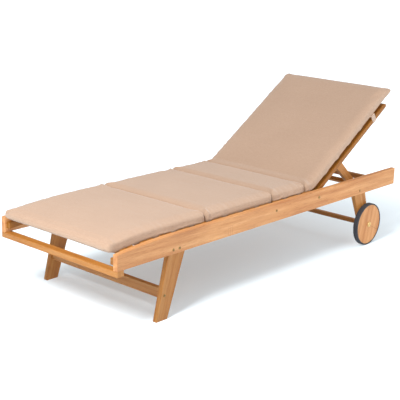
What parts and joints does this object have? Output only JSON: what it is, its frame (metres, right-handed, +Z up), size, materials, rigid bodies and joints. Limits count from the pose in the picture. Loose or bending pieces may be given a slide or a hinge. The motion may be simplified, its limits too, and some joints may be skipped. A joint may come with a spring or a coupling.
{
  "type": "reclining sun lounger",
  "caption": "Wooden sun lounger with slatted bed, folding back on a notched stay, two rubber-tyred wheels and a segmented beige cushion.",
  "frame": {"origin": "on the ground, at the middle of the bounding box seen from above", "axes": "+Y from the foot end to the head end with the wheels, +X to the right for someone lying on the back, +Z up"},
  "size_m": [0.7708, 2.02, 0.7887],
  "materials": {
    "timber": "oiled hardwood, satin",
    "cushion": "woven outdoor cloth, matt",
    "strap": "webbing, matt",
    "bolt": "plated steel, satin",
    "tyre": "black rubber, matt"
  },
  "bodies": {
    "root": {"axle_beam": "timber", "axle_bolts": "bolt", "back_pivot_bolts": "bolt", "cushion_fold": "cushion", "cushion_foot": "cushion", "cushion_middle": "cushion", "cushion_seat": "cushion", "foot_crossbar": "timber", "frame_bolts": "bolt", "frame_screws": "bolt", "front_leg_left": "timber", "front_leg_right": "timber", "front_stretcher": "timber", "ledger_left": "timber", "ledger_right": "timber", "mid_cross_rail": "timber", "notch_rack_left": "timber", "notch_rack_right": "timber", "rail_plugs": "timber", "rear_cross_rail": "timber", "rear_leg_left": "timber", "rear_leg_right": "timber", "seat_slat_01": "timber", "seat_slat_02": "timber", "seat_slat_03": "timber", "seat_slat_04": "timber", "seat_slat_05": "timber", "seat_slat_06": "timber", "seat_slat_07": "timber", "seat_slat_08": "timber", "seat_slat_09": "timber", "seat_slat_10": "timber", "seat_slat_11": "timber", "seat_slat_12": "timber", "seat_slat_screws": "bolt", "side_rail_left": "timber", "side_rail_right": "timber"},
    "backrest": {"back_slat_1": "timber", "back_slat_2": "timber", "back_slat_3": "timber", "back_slat_4": "timber", "back_slat_5": "timber", "back_slat_6": "timber", "back_slat_screws": "bolt", "back_stile_left": "timber", "back_stile_right": "timber", "cushion_back": "cushion", "cushion_straps": "strap", "stay_pivot_bolts": "bolt"},
    "stay": {"stay_crossbar": "timber", "stay_leg_left": "timber", "stay_leg_right": "timber", "stay_screws": "bolt"},
    "wheel_left": {"hub_bush_left": "bolt", "tyre_left": "tyre", "wheel_disc_left": "timber"},
    "wheel_right": {"hub_bush_right": "bolt", "tyre_right": "tyre", "wheel_disc_right": "timber"}
  },
  "joints": [
    {"name": "back_recline", "type": "hinge", "parent": "root", "child": "backrest", "pos_m": [0, 0.33, 0.323], "axis": [1, 0, 0], "range_deg": [-32.5, 10]},
    {"name": "stay_fold", "type": "hinge", "parent": "backrest", "child": "stay", "pos_m": [0, 0.55519, 0.46646], "axis": [1, 0, 0], "range_deg": [-23, 73.5]},
    {"name": "wheel_left_spin", "type": "hinge", "parent": "root", "child": "wheel_left", "pos_m": [-0.3685, 0.751, 0.1077], "axis": [1, 0, 0], "continuous": true},
    {"name": "wheel_right_spin", "type": "hinge", "parent": "root", "child": "wheel_right", "pos_m": [0.3685, 0.751, 0.1077], "axis": [1, 0, 0], "continuous": true}
  ],
  "couplings": [
    {"joint": "stay_fold", "follows": "back_recline", "ratio": -2.24}
  ]
}
